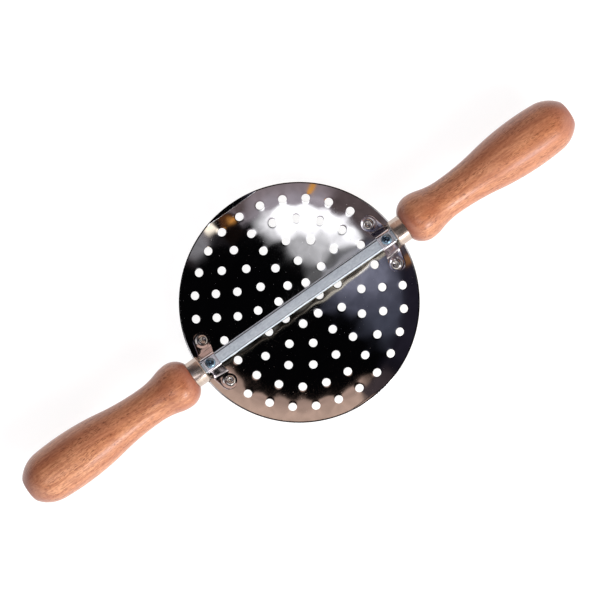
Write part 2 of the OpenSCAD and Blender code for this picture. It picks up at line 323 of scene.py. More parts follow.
def build_room():
    """The world: the mirrored room for the steel, and plain white for the camera."""
    world = bpy.data.worlds.new("studio_room")
    bpy.context.scene.world = world
    world.use_nodes = True
    tree = world.node_tree
    tree.nodes.clear()
    aim = add(tree, "ShaderNodeTexCoord", out="Generated")
    # The room stands square to what a level mirror shows the camera
    tilt_axis = tuple(Vector((0, 0, 1)).cross(STAND))
    aim = add(tree, "ShaderNodeVectorRotate", {"Vector": aim, "Axis": tilt_axis, "Angle": TILT},
              rotation_type="AXIS_ANGLE")
    # Soft unevenness, so that no edge of the room is ruled
    cloud = add(tree, "ShaderNodeTexNoise", {"Vector": aim, "Scale": 7.0, "Detail": 3.0}, "Color")
    cloud = add(tree, "ShaderNodeSeparateXYZ", {0: cloud}).node
    across = add(tree, "ShaderNodeVectorMath", {0: aim, 1: -ACROSS}, "Value", operation="DOT_PRODUCT")
    along = add(tree, "ShaderNodeVectorMath", {0: aim, 1: -UP}, "Value", operation="DOT_PRODUCT")
    up = add(tree, "ShaderNodeSeparateXYZ", {0: aim}, "Z")
    turn = add(tree, "ShaderNodeMath", {0: across, 1: along}, operation="ARCTAN2")
    turn = add(tree, "ShaderNodeMath", {0: turn}, operation="DEGREES")
    turn = add(tree, "ShaderNodeMath", {0: cloud.outputs["X"], 1: TURN_STRAY, 2: turn},
               operation="MULTIPLY_ADD")
    turn = add(tree, "ShaderNodeMath", {0: turn, 1: TURN_STRAY / 2}, operation="SUBTRACT")
    lean = add(tree, "ShaderNodeMath", {0: up}, operation="ARCCOSINE")
    lean = add(tree, "ShaderNodeMath", {0: lean}, operation="DEGREES")
    lean = add(tree, "ShaderNodeMath", {0: cloud.outputs["Y"], 1: LEAN_STRAY, 2: lean},
               operation="MULTIPLY_ADD")
    lean = add(tree, "ShaderNodeMath", {0: lean, 1: LEAN_STRAY / 2}, operation="SUBTRACT")
    colour = CEILING
    for *place, code, level in ROOM:
        mask = room_mask(tree, turn, lean, *place)
        shade = [c * level for c in paint(code)[:3]] + [1]
        colour = add(tree, "ShaderNodeMix", {0: mask, A: colour, B: shade}, MIXED, data_type="RGBA")
    glow = 0.0
    for *place, level in GLOWS:
        mask = room_mask(tree, turn, lean, *place)
        glow = add(tree, "ShaderNodeMath", {0: mask, 1: level, 2: glow}, operation="MULTIPLY_ADD")
    # A narrow tube straight above, along the bar, which its flat tops mirror
    parts = add(tree, "ShaderNodeSeparateXYZ", {0: aim}).node
    tube = span(tree, parts.outputs["X"], -0.13, 0.03, 0.13, 0.03)
    narrow = span(tree, parts.outputs["Y"], -0.018, 0.012, 0.018, 0.012)
    tube = add(tree, "ShaderNodeMath", {0: tube, 1: narrow}, operation="MULTIPLY")
    above = add(tree, "ShaderNodeMath", {0: up, 1: 0.0}, operation="GREATER_THAN")
    tube = add(tree, "ShaderNodeMath", {0: tube, 1: above}, operation="MULTIPLY")
    glow = add(tree, "ShaderNodeMath", {0: tube, 1: 1.25, 2: glow}, operation="MULTIPLY_ADD")
    glow = add(tree, "ShaderNodeVectorMath", {0: paint("#f7f8ff")[:3], "Scale": glow}, operation="SCALE")
    lit = add(tree, "ShaderNodeMix", {0: 1.0, A: colour, B: glow}, MIXED, data_type="RGBA",
              blend_type="ADD")
    smudge = add(tree, "ShaderNodeTexNoise", {"Vector": aim, "Scale": 22.0, "Detail": 2.0}, "Fac")
    smudge = add(tree, "ShaderNodeMapRange", {"Value": smudge, "From Min": 0.3, "From Max": 0.7,
                                              "To Min": 0.82, "To Max": 1.15}, "Result")
    room = add(tree, "ShaderNodeBackground", {"Color": lit, "Strength": smudge})
    white = add(tree, "ShaderNodeBackground", {"Color": (1, 1, 1, 1), "Strength": 1.0})
    ray = add(tree, "ShaderNodeLightPath", out="Is Camera Ray")
    both = add(tree, "ShaderNodeMixShader", {0: ray, 1: room, 2: white})
    add(tree, "ShaderNodeOutputWorld", {"Surface": both})


def lamp(name, place, size, watts, colour):
    """A round lamp at a place, turned to the origin."""
    light = bpy.data.lights.new(name, "AREA")
    light.shape = "DISK"
    light.size = size
    light.energy = watts
    light.color = paint(colour)[:3]
    made = new_object(name, light)
    made.location = place
    made.rotation_euler = Vector(place).to_track_quat("Z", "Y").to_euler()
    # The steel mirrors the room's own window; the lamps only light
    made.visible_glossy = False
    return made


def build_floor():
    """White paper that keeps the shadow, and that the camera and the steel see as bright."""
    bpy.ops.mesh.primitive_plane_add(size=8, location=(0, 0, 0))
    floor = bpy.context.object
    floor.name = "floor"
    matter = bpy.data.materials.new("white_paper")
    matter.use_nodes = True
    tree = matter.node_tree
    tree.nodes.clear()
    paths = add(tree, "ShaderNodeLightPath").node
    seen = add(tree, "ShaderNodeMath", {0: paths.outputs["Is Camera Ray"],
                                        1: paths.outputs["Is Glossy Ray"]}, operation="MAXIMUM")
    seen = add(tree, "ShaderNodeMath", {0: seen, 1: paths.outputs["Is Transmission Ray"]},
               operation="MAXIMUM")
    plain = add(tree, "ShaderNodeBsdfDiffuse", {"Color": (0.8, 0.8, 0.8, 1)})
    shaded = add(tree, "ShaderNodeBsdfDiffuse", {"Color": (0.34, 0.34, 0.34, 1)})
    glow = add(tree, "ShaderNodeEmission", {"Color": (1, 1, 1, 1), "Strength": 0.82})
    bright = add(tree, "ShaderNodeAddShader", {0: shaded, 1: glow})
    both = add(tree, "ShaderNodeMixShader", {0: seen, 1: plain, 2: bright})
    add(tree, "ShaderNodeOutputMaterial", {"Surface": both})
    floor.data.materials.append(matter)


build_room()
build_floor()
LAMP_LEAN, LAMP_FAR = radians(50), 1.3
lamp_way = Vector((0.45, -0.8, 0)) * sin(LAMP_LEAN) - UP * 0.2 + Vector((0, 0, cos(LAMP_LEAN)))
lamp("window_lamp", lamp_way * LAMP_FAR, 0.9, 15, "#fff4e6")
lamp("ceiling_bounce", Vector((0.1, 0.4, 1.2)), 0.9, 3, "#f2f2ff")
bpy.context.scene.view_settings.view_transform = "Standard"


# ---- Materials ----

def surface(name):
    """A new material with one Principled shader; gives the material, its tree and the shader node."""
    made = bpy.data.materials.new(name)
    made.use_nodes = True
    tree = made.node_tree
    return made, tree, tree.nodes["Principled BSDF"]


def on_piece(tree, cycles, **settings):
    """A texture's inputs, for a pattern that is fixed to the piece, in cycles per metre."""
    where = add(tree, "ShaderNodeTexCoord", out="Object")
    place = add(tree, "ShaderNodeMapping", {"Vector": where, "Scale": cycles})
    return {"Vector": place, "Scale": 1.0, **settings}


# Polished stainless sheet: a mirror, with a speck of dust every 3 mm or so and the faintest rub
# marks, 1 mm wide and 17 mm long
def polished_stainless():
    made, tree, shader = surface("polished_stainless_sheet")
    dust = add(tree, "ShaderNodeTexVoronoi", on_piece(tree, (330, 330, 330)), "Distance")
    dust = add(tree, "ShaderNodeMapRange", {"Value": dust, "From Min": 0.05, "From Max": 0.08,
                                            "To Min": 0.22, "To Max": 0.0}, "Result")
    rub = add(tree, "ShaderNodeTexNoise", on_piece(tree, (60, 900, 60), Detail=4.0), "Fac")
    rough = add(tree, "ShaderNodeMapRange", {"Value": rub, "From Min": 0.3, "From Max": 0.75,
                                             "To Min": 0.045, "To Max": 0.075}, "Result")
    rough = add(tree, "ShaderNodeMath", {0: rough, 1: dust}, operation="ADD")
    fill(shader, {"Base Color": paint("#cfcdcb"), "Metallic": 1.0, "Roughness": rough})
    return made


# Bright stainless strip: rolled, so it mirrors less clearly than the dish, in lines that run
# along it. They are 0.6 mm wide and 8 mm long, coarser than real ones, so that they show
def stainless_strip():
    made, tree, shader = surface("bright_rolled_stainless_strip")
    lines = add(tree, "ShaderNodeTexNoise", on_piece(tree, (1600, 120, 120), Detail=3.0), "Fac")
    rough = add(tree, "ShaderNodeMapRange", {"Value": lines, "From Min": 0.3, "From Max": 0.7,
                                             "To Min": 0.1, "To Max": 0.18}, "Result")
    bump = add(tree, "ShaderNodeBump", {"Height": lines, "Strength": 0.12, "Distance": 0.00002})
    # Closing the rivets drew each foot down around them
    rivet = Vector((cos(RIVET_TURN), sin(RIVET_TURN), 0)) * OUTER_R * MM
    gap = add(tree, "ShaderNodeTexCoord", out="Object")
    gap = add(tree, "ShaderNodeVectorMath", {0: gap}, operation="ABSOLUTE")
    gap = add(tree, "ShaderNodeVectorMath", {0: gap, 1: rivet}, operation="SUBTRACT")
    gap = add(tree, "ShaderNodeVectorMath", {0: gap, 1: (1, 1, 0)}, operation="MULTIPLY")
    gap = add(tree, "ShaderNodeVectorMath", {0: gap}, "Value", operation="LENGTH")
    rise = add(tree, "ShaderNodeMapRange", {"Value": gap, "From Min": 0.0022, "From Max": 0.0048},
               "Result", interpolation_type="SMOOTHSTEP")
    bump = add(tree, "ShaderNodeBump",
               {"Height": rise, "Strength": 1.0, "Distance": 0.0004, "Normal": bump})
    fill(shader, {"Base Color": paint("#d9d3d6"), "Metallic": 1.0, "Roughness": rough, "Normal": bump})
    return made


# Zinc plated drawn bar: dull bluish grey, mottled by the plating's grain of 1.1 to 1.4 mm and
# by clouds 6 mm wide
def zinc_bar():
    made, tree, shader = surface("zinc_plated_drawn_bar")
    # The sides and what is below them kept more of their drawn shine than the top
    facing = add(tree, "ShaderNodeTexCoord", out="Normal")
    facing = add(tree, "ShaderNodeSeparateXYZ", {0: facing}).node
    side = add(tree, "ShaderNodeMath", {0: facing.outputs["Y"]}, operation="ABSOLUTE")
    side = add(tree, "ShaderNodeMath", {0: side, 1: facing.outputs["Z"]}, operation="SUBTRACT")
    side = add(tree, "ShaderNodeMapRange", {"Value": side, "From Min": 0.5, "From Max": 0.9}, "Result")
    metal = add(tree, "ShaderNodeMapRange", {"Value": side, "To Min": 0.45, "To Max": 1.0}, "Result")
    # Toward the right the sides are less metallic, so that the lamps light them paler, which is painted
    # light; toward the left the lower bevels are painted dark brown, a painted shade
    rightward_ramp = add(tree, "ShaderNodeTexCoord", out="Object")
    rightward_ramp = add(tree, "ShaderNodeSeparateXYZ", {0: rightward_ramp}, "X")
    rightward_ramp = add(tree, "ShaderNodeMapRange", {"Value": rightward_ramp, "From Min": -0.004, "From Max": 0.016},
               "Result", interpolation_type="SMOOTHSTEP")
    painted_paler_right = add(tree, "ShaderNodeMath", {0: side, 1: rightward_ramp}, operation="MULTIPLY")
    metal = add(tree, "ShaderNodeMath", {0: painted_paler_right, 1: -0.5, 2: metal}, operation="MULTIPLY_ADD")
    mottle = add(tree, "ShaderNodeTexNoise",
                 on_piece(tree, (700, 900, 900), Detail=5.0, Roughness=0.7), "Fac")
    cloud = add(tree, "ShaderNodeTexNoise", on_piece(tree, (60, 160, 160), Detail=3.0), "Fac")
    both = add(tree, "ShaderNodeMath", {0: cloud, 1: 0.45, 2: mottle}, operation="MULTIPLY_ADD")
    colour = add(tree, "ShaderNodeMapRange", {"Value": both, "From Min": 0.5, "From Max": 0.95}, "Result")
    tone = add(tree, "ShaderNodeMix",
               {0: colour, A: paint("#a9b6c3"), B: paint("#d6e0e9")}, MIXED, data_type="RGBA")
    # The sides are painted a pale cream, a painted sheen of the window's light on them
    tone = add(tree, "ShaderNodeMix", {0: side, A: tone, B: paint("#dedacd")}, MIXED, data_type="RGBA")
    # Dark lines beside each bevel, 2.7 to 3.3 mm off the middle of a face. What is
    # 3.7 to 3.9 mm from the bar's axis is face and not bevel. The back's lines are the darker
    where = add(tree, "ShaderNodeTexCoord", out="Object")
    heavy = add(tree, "ShaderNodeSeparateXYZ", {0: where}, "Y")
    heavy = add(tree, "ShaderNodeMapRange", {"Value": heavy, "From Min": -0.001, "From Max": 0.001,
                                             "To Min": 0.5, "To Max": 1.0}, "Result")
    where = add(tree, "ShaderNodeVectorMath", {0: where, 1: (0, 0, BAR_Z * MM)}, operation="SUBTRACT")
    where = add(tree, "ShaderNodeVectorMath", {0: where}, operation="ABSOLUTE")
    where = add(tree, "ShaderNodeSeparateXYZ", {0: where}).node
    face = add(tree, "ShaderNodeMath", {0: where.outputs["Y"], 1: where.outputs["Z"]}, operation="MAXIMUM")
    place = add(tree, "ShaderNodeMath",
                {0: where.outputs["Y"], 1: where.outputs["Z"]}, operation="MINIMUM")
    place = add(tree, "ShaderNodeMath", {0: cloud, 1: 0.0004, 2: place}, operation="MULTIPLY_ADD")
    dark_bevel_line = span(tree, place, 0.0027, 0.0002, 0.0033, 0.0002)
    on_face = span(tree, face, 0.0037, 0.00004, 0.0039, 0.00002)
    dark_bevel_line = add(tree, "ShaderNodeMath", {0: dark_bevel_line, 1: on_face}, operation="MULTIPLY")
    dark_bevel_line = add(tree, "ShaderNodeMath", {0: dark_bevel_line, 1: heavy}, operation="MULTIPLY")
    tone = add(tree, "ShaderNodeMix", {0: dark_bevel_line, A: tone, B: paint("#3c4048")}, MIXED, data_type="RGBA")
    # The lower bevels are painted dark brown, a painted shade, strongest toward the left
    edge = span(tree, facing.outputs["Z"], -0.85, 0.1, -0.55, 0.1)
    painted_shade_left = add(tree, "ShaderNodeMath", {0: rightward_ramp, 1: -0.94, 2: 0.94}, operation="MULTIPLY_ADD")
    edge = add(tree, "ShaderNodeMath", {0: edge, 1: painted_shade_left}, operation="MULTIPLY")
    tone = add(tree, "ShaderNodeMix", {0: edge, A: tone, B: paint("#2a211c")}, MIXED, data_type="RGBA")
    # The underside is painted dark, a painted shade, lighter toward the right
    painted_under_shade = add(tree, "ShaderNodeMapRange",
                {"Value": facing.outputs["Z"], "From Min": -0.95, "From Max": -0.8,
                 "To Min": 0.85, "To Max": 0.0}, "Result")
    under_shade_fade = add(tree, "ShaderNodeMath", {0: rightward_ramp, 1: -0.7, 2: 1.0}, operation="MULTIPLY_ADD")
    painted_under_shade = add(tree, "ShaderNodeMath", {0: painted_under_shade, 1: under_shade_fade}, operation="MULTIPLY")
    tone = add(tree, "ShaderNodeMix", {0: painted_under_shade, A: tone, B: paint("#2c2d30")}, MIXED, data_type="RGBA")
    rough = add(tree, "ShaderNodeMapRange", {"Value": both, "From Min": 0.5, "From Max": 0.95,
                                             "To Min": 0.52, "To Max": 0.38}, "Result")
    rough = add(tree, "ShaderNodeMath", {0: side, 1: -0.28, 2: rough}, operation="MULTIPLY_ADD")
    bump = add(tree, "ShaderNodeBump", {"Height": mottle, "Strength": 0.35, "Distance": 0.00006})
    fill(shader, {"Base Color": tone, "Metallic": metal, "Roughness": rough, "Normal": bump})
    return made


# Blue passivated zinc on a steel screw: a bluish metal, cloudy every millimetre
def zinc_screw():
    made, tree, shader = surface("blue_zinc_screw")
    mottle = add(tree, "ShaderNodeTexNoise", on_piece(tree, (900, 900, 900), Detail=3.0), "Fac")
    tone = add(tree, "ShaderNodeMix",
               {0: mottle, A: paint("#4f667b"), B: paint("#8fa6b8")}, MIXED, data_type="RGBA")
    fill(shader, {"Base Color": tone, "Metallic": 1.0, "Roughness": 0.24})
    return made


# Plated steel rivet: bright, with a shine that varies every millimetre or so
def plated_rivet():
    made, tree, shader = surface("bright_plated_rivet_steel")
    mottle = add(tree, "ShaderNodeTexNoise", on_piece(tree, (1200, 1200, 1200), Detail=3.0), "Fac")
    rough = add(tree, "ShaderNodeMapRange", {"Value": mottle, "From Min": 0.3, "From Max": 0.7,
                                             "To Min": 0.12, "To Max": 0.24}, "Result")
    fill(shader, {"Base Color": paint("#cbc7c4"), "Metallic": 1.0, "Roughness": rough})
    return made


# Nickel plated ferrule: drawn, so it has a warm satin shine with clouds of 2 by 4.5 mm
def nickel_ferrule():
    made, tree, shader = surface("nickel_plated_ferrule")
    cloud = add(tree, "ShaderNodeTexNoise", on_piece(tree, (500, 220, 220), Detail=3.0), "Fac")
    tone = add(tree, "ShaderNodeMix",
               {0: cloud, A: paint("#b5a398"), B: paint("#d0c3b8")}, MIXED, data_type="RGBA")
    rough = add(tree, "ShaderNodeMapRange", {"Value": cloud, "From Min": 0.3, "From Max": 0.7,
                                             "To Min": 0.2, "To Max": 0.28}, "Result")
    fill(shader, {"Base Color": tone, "Metallic": 0.88, "Roughness": rough})
    return made


# Steamed beech, turned and lacquered satin: salmon brown, with its grain along the handle.
# Growth bands are 10 mm wide, grain lines 1.4 mm, and the short dark pores 2.6 by 0.4 mm
def steamed_beech():
    made, tree, shader = surface("turned_steamed_beech")
    band = add(tree, "ShaderNodeTexNoise", on_piece(tree, (9, 95, 95), Detail=2.0), "Fac")
    grain = add(tree, "ShaderNodeTexNoise",
                on_piece(tree, (60, 700, 700), Detail=4.0, Roughness=0.6), "Fac")
    mottle = add(tree, "ShaderNodeTexNoise", on_piece(tree, (420, 900, 900), Detail=2.0), "Fac")
    fleck = add(tree, "ShaderNodeTexNoise", on_piece(tree, (380, 2300, 2300), Detail=1.0), "Fac")
    line = add(tree, "ShaderNodeTexNoise", on_piece(tree, (24, 300, 300), Detail=2.0), "Fac")
    tone = add(tree, "ShaderNodeMapRange", {"Value": band, "From Min": 0.36, "From Max": 0.64}, "Result")
    wood = add(tree, "ShaderNodeMix",
               {0: tone, A: paint("#b87754"), B: paint("#cf946d")}, MIXED, data_type="RGBA")
    streak = add(tree, "ShaderNodeMapRange",
                 {"Value": grain, "From Min": 0.36, "From Max": 0.58, "To Min": 0.65, "To Max": 0.0},
                 "Result")
    wood = add(tree, "ShaderNodeMix", {0: streak, A: wood, B: paint("#9a5b3d")}, MIXED, data_type="RGBA")
    spot = add(tree, "ShaderNodeMapRange",
               {"Value": mottle, "From Min": 0.36, "From Max": 0.62, "To Min": 0.36, "To Max": 0.0},
               "Result")
    wood = add(tree, "ShaderNodeMix", {0: spot, A: wood, B: paint("#8f5238")}, MIXED, data_type="RGBA")
    # Open pores, short and dark, crowded along a few growth lines
    crowd = add(tree, "ShaderNodeMapRange",
                {"Value": line, "From Min": 0.45, "From Max": 0.62, "To Min": 0.25, "To Max": 0.85},
                "Result")
    pore = add(tree, "ShaderNodeMapRange", {"Value": fleck, "From Min": 0.55, "From Max": 0.64}, "Result")
    pore = add(tree, "ShaderNodeMath", {0: pore, 1: crowd}, operation="MULTIPLY")
    wood = add(tree, "ShaderNodeMix", {0: pore, A: wood, B: paint("#6b3a20")}, MIXED, data_type="RGBA")
    # End grain, on the shoulders and the butt, is redder and darker
    facing = add(tree, "ShaderNodeTexCoord", out="Normal")
    facing = add(tree, "ShaderNodeSeparateXYZ", {0: facing}, "X")
    facing = add(tree, "ShaderNodeMath", {0: facing}, operation="ABSOLUTE")
    facing = add(tree, "ShaderNodeMath", {0: mottle, 1: 0.35, 2: facing}, operation="MULTIPLY_ADD")
    ends = add(tree, "ShaderNodeMapRange",
               {"Value": facing, "From Min": 0.3, "From Max": 0.95, "To Max": 0.75}, "Result")
    wood = add(tree, "ShaderNodeMix", {0: ends, A: wood, B: paint("#8c4a38")}, MIXED, data_type="RGBA")
    rough = add(tree, "ShaderNodeMapRange",
                {"Value": fleck, "From Min": 0.3, "From Max": 0.7, "To Min": 0.36, "To Max": 0.5},
                "Result")
    bump = add(tree, "ShaderNodeBump",
               {"Height": fleck, "Strength": 0.25, "Distance": 0.00006}, invert=True)
    fill(shader, {"Base Color": wood, "Roughness": rough, "IOR": 1.45, "Coat Weight": 0.6,
                  "Coat Roughness": 0.25, "Normal": bump})
    return made


FINISH = {
    "stainless_polished": polished_stainless(),
    "stainless_strap": stainless_strip(),
    "zinc_plated": zinc_bar(),
    "zinc_screw": zinc_screw(),
    "rivet_steel": plated_rivet(),
    "nickel_ferrule": nickel_ferrule(),
    "beech": steamed_beech(),
}


def dress(piece, slot, *nodes):
    """Gives a piece its finish, its body, and the nodes that it stands for."""
    if not piece.data.materials:
        piece.data.materials.append(FINISH[slot])
    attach(piece, "root")
    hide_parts(*nodes)


# ---- Dish ----

# Circles round each hole, closer near its edge, where the punched sheet curves down
HOLE_BANDS = (0.0, 0.1, 0.25, 0.5, 0.9, 1.4, 2.0, 2.7)
HOLE_STEPS = 36
# Circles inside the rim
RIM_BANDS = (0.0, 0.5, 1.3)
RIM_STEPS = 400
# Rows along the two bends, and their points' step
BEND_ROWS = (-0.4, -0.2, -0.08, 0.08, 0.2, 0.4)
BEND_STEP = 0.9
# An even lattice of triangles for the rest: its side, its rows' distance as a share of that, and
# how far it stays off the bends and the rim
LATTICE = 1.55
LATTICE_ROW = 0.866
OFF_BEND, OFF_RIM = 0.9, 2.2
# How the punch drew each hole's edge down: (depth, reach) of a broad curve and a narrow one
SINKS = [(0.065, 2.8), (0.02, 0.25)]
# Waves that polishing left: (direction, length, phase, height). They fade out toward the rim
WAVES = [
    (0.4, 31, 0.3, 0.020),
    (1.5, 23, 2.1, 0.014),
    (2.5, 17, 4.0, 0.009),
    (0.9, 12.5, 1.2, 0.005),
    (2.1, 9.5, 5.1, 0.0035),
]
WAVE_FADE = 12
BEND_RIDGE, RIDGE_HALF = 0.04, 0.2
# The front lip is eased to this share of the slope that it has at its bend
FRONT_SLOPE = 0.95


def hole_places():
    """(tilt, turn, radius) of the dough holes, and of the rivets' holes."""
    holes = [(0.0, 0.0, HOLE_R)]
    for k, count in enumerate(RINGS):
        for i in range(count):
            turn = pi / 2 + 2 * pi * i / count
            off_bar = abs(math.asin(sin(turn)))
            if k == len(RINGS) - 1 and FOOT_FROM < off_bar < FOOT_TO:
                continue
            holes.append((OUTER_TILT * (k + 1) / len(RINGS), turn, HOLE_R))
    return holes, [(OUTER_TILT, turn, RIVET_HOLE_R) for turn in RIVET_TURNS]


def round_hole(tilt, turn, radius):
    """Plan of a circle round a hole's axis, on the dish's ball."""
    c, s = cos(tilt), sin(tilt)
    out, side = (cos(turn), sin(turn)), (-sin(turn), cos(turn))
    ring = []
    for a, b in circle(radius, HOLE_STEPS):
        down = sqrt(BALL_R**2 - a * a - b * b)
        reach = down * s + a * c
        ring.append((reach * out[0] + b * side[0], reach * out[1] + b * side[1]))
    return ring


def closed_loop(first, count):
    """Edges of a ring of points."""
    return [(first + k, first + (k + 1) % count) for k in range(count)]


def sheet_plan(places):
    """Points round the holes, inside the rim and along the bends, and the edges to keep."""
    plan, edges = [], []
    for tilt, turn, radius in places:
        for band in (HOLE_BANDS if radius == HOLE_R else HOLE_BANDS[::3]):
            if band == 0.0:
                edges += closed_loop(len(plan), HOLE_STEPS)
            plan += round_hole(tilt, turn, radius + band)
    edges += closed_loop(len(plan), RIM_STEPS)
    for band in RIM_BANDS:
        plan += circle(RIM_EDGE - band, RIM_STEPS)
    for chord in (BACK_CHORD, -FRONT_CHORD):
        for off in BEND_ROWS:
            y = chord + off
            half = sqrt(RIM_EDGE**2 - y * y) - 0.05
            count = int(2 * half / BEND_STEP)
            edges += [(len(plan) + k, len(plan) + k + 1) for k in range(count)]
            plan += [(-half + 2 * half * k / count, y) for k in range(count + 1)]
    return plan, edges


def lattice_points(centres, radii):
    """The lattice's points, clear of holes, bends and rim."""
    points = []
    rows = int(DISH_R / (LATTICE * LATTICE_ROW)) + 1
    for j in range(-rows, rows + 1):
        for i in range(-rows * 2, rows * 2 + 1):
            x, y = (i + 0.5 * (j % 2)) * LATTICE, j * LATTICE * LATTICE_ROW
            if sqrt(x * x + y * y) > RIM_EDGE - OFF_RIM:
                continue
            if min(abs(y - BACK_CHORD), abs(y + FRONT_CHORD)) < OFF_BEND:
                continue
            gap = np.min(np.hypot(centres[:, 0] - x, centres[:, 1] - y) - radii)
            if gap > HOLE_BANDS[-1] + 0.6 * LATTICE:
                points.append((x, y))
    return points


def cut_sheet(plan, edges, places, centres):
    """Joins the plan into triangles, and leaves out those in a hole or past the rim."""
    flat, _, faces = delaunay_2d_cdt([Vector(p) for p in plan], edges, [], 0, 1e-5)[:3]
    flat = np.array([tuple(p) for p in flat])
    faces = np.array(faces)
    middle = flat[faces].mean(axis=1)
    kept = np.hypot(middle[:, 0], middle[:, 1]) < RIM_EDGE
    for (x, y), (tilt, turn, radius) in zip(centres, places):
        dx, dy = middle[:, 0] - x, middle[:, 1] - y
        radial = (dx * cos(turn) + dy * sin(turn)) / cos(tilt)
        across = -dx * sin(turn) + dy * cos(turn)
        kept &= np.hypot(radial, across) > radius * 0.997
    faces = faces[kept]
    used = np.unique(faces)
    renumber = -np.ones(len(flat), int)
    renumber[used] = np.arange(len(used))
    flat, faces = flat[used], renumber[faces]
    # Counter-clockwise seen from above
    a, b, c = flat[faces[:, 0]], flat[faces[:, 1]], flat[faces[:, 2]]
    area = (b[:, 0] - a[:, 0]) * (c[:, 1] - a[:, 1]) - (b[:, 1] - a[:, 1]) * (c[:, 0] - a[:, 0])
    faces[area < 0] = faces[area < 0][:, ::-1]
    return flat, faces


def sheet_lift(flat, dough_centres):
    """How far each point of the sheet stands off its true shape."""
    x, y = flat[:, 0], flat[:, 1]
    sink = np.zeros(len(flat))
    for hole_x, hole_y in dough_centres:
        gap = np.maximum(np.hypot(x - hole_x, y - hole_y) - HOLE_R, 0)
        sink += sum(depth * np.exp(-gap / spread) for depth, spread in SINKS)
    wave = np.zeros(len(flat))
    for way, length, phase, height in WAVES:
        wave += height * np.sin(2 * pi * (x * cos(way) + y * sin(way)) / length + phase)
    inward = np.clip((DISH_R - np.hypot(x, y)) / WAVE_FADE, 0, 1)
    # Pressing the bends left a fine raised line along each
    ridge = sum(BEND_RIDGE * np.exp(-((y - chord) / RIDGE_HALF)**2)
                for chord in (BACK_CHORD, -FRONT_CHORD))
    return wave * inward * inward - sink + ridge


def sheet_side(flat, lift, depth):
    """One side of the sheet: the hollow one at depth 0, or the one below it."""
    scale = (BALL_R + depth) / BALL_R
    x, y = flat[:, 0] * scale, flat[:, 1] * scale
    reach = np.hypot(x, y)
    shrink = np.where(reach > RIM_EDGE, RIM_EDGE / np.maximum(reach, 1e-9), 1)
    x, y = x * shrink, y * shrink
    held = np.clip(y, -FRONT_CHORD * scale, BACK_CHORD * scale)
    drop = np.sqrt((BALL_R + depth)**2 - x * x - held * held)
    # The front edge is only eased a little flatter; the back one lies level
    slack = np.where(y < held, FRONT_SLOPE * FRONT_CHORD / drop * (held - y), 0)
    return np.stack([x, y, np.maximum(BALL_Z - drop + slack + lift, 0)], axis=1)


def sheet_walls(flat, faces, top, bottom):
    """Points of the rim, and the walls of the rim and the holes."""
    count = len(flat)
    rim, walls, rim_of = [], [], {}
    sides = dict.fromkeys((f[k], f[(k + 1) % 3]) for f in faces for k in range(3))
    for edge in sides:
        if edge[::-1] in sides:
            continue
        ladders = [[v, v + count] for v in edge]
        if np.hypot(*flat[edge[0]]) > RIM_EDGE - 0.05:
            for v in edge:
                if v in rim_of:
                    continue
                rim_of[v] = 2 * count + len(rim)
                for back, base, up in ((RIM_EASE, top, 0.0), (0.0, top, -RIM_EASE / 2),
                                       (0.0, bottom, RIM_EASE), (RIM_EASE, bottom, 0.0)):
                    out = (DISH_R - back) / np.hypot(*flat[v])
                    rim.append((flat[v][0] * out, flat[v][1] * out, base[v][2] + up))
            ladders = [[v, *range(rim_of[v], rim_of[v] + 4), v + count] for v in edge]
        here, there = ladders
        walls += [(b1, a1, a2, b2) for a1, a2, b1, b2 in zip(here, here[1:], there, there[1:])]
    return rim, walls


def build_dish():
    """The perforated sheet, laid out as a plan and then raised on to the ball's two sides."""
    holes, rivets = hole_places()
    places = holes + rivets
    centres = np.array([[BALL_R * sin(tilt) * cos(turn), BALL_R * sin(tilt) * sin(turn)]
                        for tilt, turn, _ in places])
    plan, edges = sheet_plan(places)
    plan += lattice_points(centres, np.array([radius for _, _, radius in places]))
    flat, faces = cut_sheet(plan, edges, places, centres)
    lift = sheet_lift(flat, centres[:len(holes)])
    top, bottom = sheet_side(flat, lift, 0), sheet_side(flat, lift, SHEET)
    rim, walls = sheet_walls(flat, faces, top, bottom)
    all_faces = [*faces, *(faces[:, ::-1] + len(flat)), *walls]
    dish = mesh_object("dish_sheet", [*top, *bottom, *rim],
                       [tuple(int(v) for v in f) for f in all_faces], 22)
    dress(dish, "stainless_polished", "disc")


build_dish()


# ---- Bar ----

# No bevel is quite the same width all along: (height, turn per millimetre, turn per corner)
BEVEL_WAVES = [(0.04, 0.21, 2.3), (0.025, 0.53, 1.1)]


def bar_section(x):
    """The square's outline at x, as (y, z) from its axis, with a bevel on each corner."""
    section = []
    for k in range(4):
        uneven = sum(height * sin(rate * x + step * k) for height, rate, step in BEVEL_WAVES)
        a, b = BAR_W / 2, BAR_W / 2 - BAR_BEVEL - uneven
        reach = BEVEL_EASE / cos(radians(22.5))
        corners = []
        for (y, z), way in (((a, b), 22.5), ((b, a), 67.5)):
            # Each of the bevel's two edges is eased over a small arc
            centre = (y - reach * cos(radians(way)), z - reach * sin(radians(way)))
            corners += arc(*centre, BEVEL_EASE, way - 22.5, way + 22.5, 3)
        turn = k * pi / 2
        section += [(y * cos(turn) - z * sin(turn), y * sin(turn) + z * cos(turn)) for y, z in corners]
    return section


